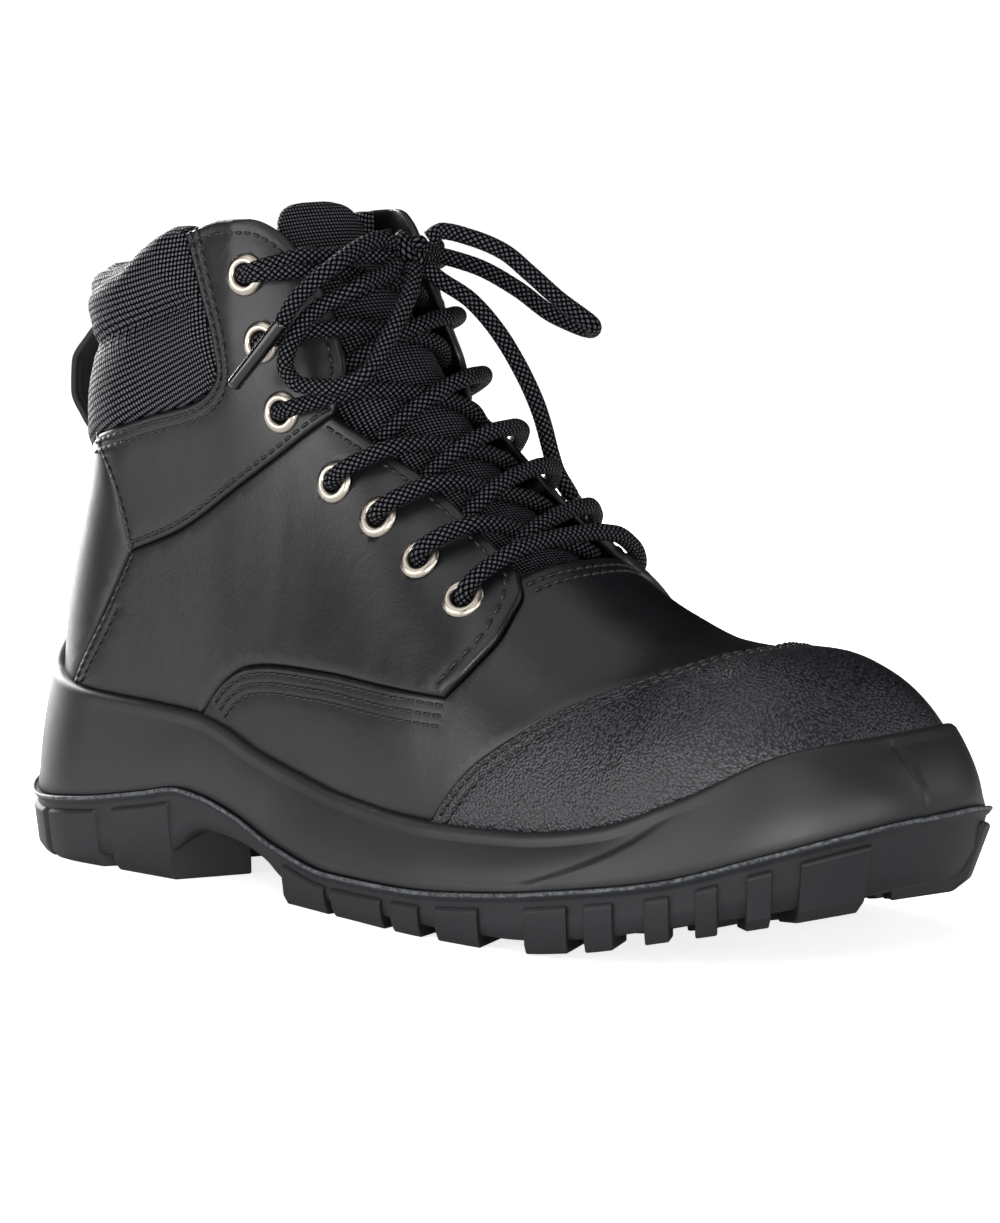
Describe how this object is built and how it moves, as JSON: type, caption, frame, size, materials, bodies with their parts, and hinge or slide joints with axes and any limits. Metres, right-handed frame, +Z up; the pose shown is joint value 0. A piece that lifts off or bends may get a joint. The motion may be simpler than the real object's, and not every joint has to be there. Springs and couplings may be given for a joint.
{
  "type": "safety boot",
  "caption": "Ankle-high laced safety boot with a grained toe cap, padded collar, metal eyelets and a lugged moulded sole, right foot.",
  "frame": {"origin": "middle of the boot's box at the floor it stands on", "axes": "+X from heel to toe, +Y to the wearer's inside (medial), +Z up"},
  "size_m": [0.3078, 0.1127, 0.1776],
  "materials": {
    "outsole_rubber": "matte moulded",
    "midsole_foam": "satin moulded",
    "upper_leather": "smooth satin",
    "toe_cap_leather": "pebble-grained satin",
    "collar_fabric": "basket-woven",
    "lining_fabric": "woven",
    "tongue_fabric": "woven",
    "insole_fabric": "woven",
    "pull_loop_webbing": "woven webbing",
    "eyelet_metal": "nickel plated",
    "lace_cord": "braided",
    "aglet_plastic": "gloss"
  },
  "bodies": {
    "root": {"outsole": "outsole_rubber", "midsole": "midsole_foam", "insole": "insole_fabric", "upper": "upper_leather", "tongue": "tongue_fabric", "toe_cap": "toe_cap_leather", "vamp": "upper_leather", "quarter_lower_lateral": "upper_leather", "quarter_upper_lateral": "upper_leather", "quarter_lower_medial": "upper_leather", "quarter_upper_medial": "upper_leather", "back_stay": "upper_leather", "collar_pad": "collar_fabric", "collar_lining": "lining_fabric", "pull_loop": "pull_loop_webbing", "eyelet_lateral_1": "eyelet_metal", "eyelet_lateral_2": "eyelet_metal", "eyelet_lateral_3": "eyelet_metal", "eyelet_lateral_4": "eyelet_metal", "eyelet_lateral_5": "eyelet_metal", "eyelet_lateral_6": "eyelet_metal", "eyelet_lateral_7": "eyelet_metal", "eyelet_medial_1": "eyelet_metal", "eyelet_medial_2": "eyelet_metal", "eyelet_medial_3": "eyelet_metal", "eyelet_medial_4": "eyelet_metal", "eyelet_medial_5": "eyelet_metal", "eyelet_medial_6": "eyelet_metal", "eyelet_medial_7": "eyelet_metal", "lace_crossing_1": "lace_cord", "lace_crossing_2": "lace_cord", "lace_crossing_3": "lace_cord", "lace_crossing_4": "lace_cord", "lace_crossing_5": "lace_cord", "lace_crossing_6": "lace_cord", "lace_bar": "lace_cord", "lace_knot": "lace_cord", "lace_loop_lateral": "lace_cord", "lace_end_lateral": "lace_cord", "lace_loop_medial": "lace_cord", "lace_end_medial": "lace_cord", "aglet_lateral": "aglet_plastic", "aglet_medial": "aglet_plastic"}
  },
  "joints": []
}
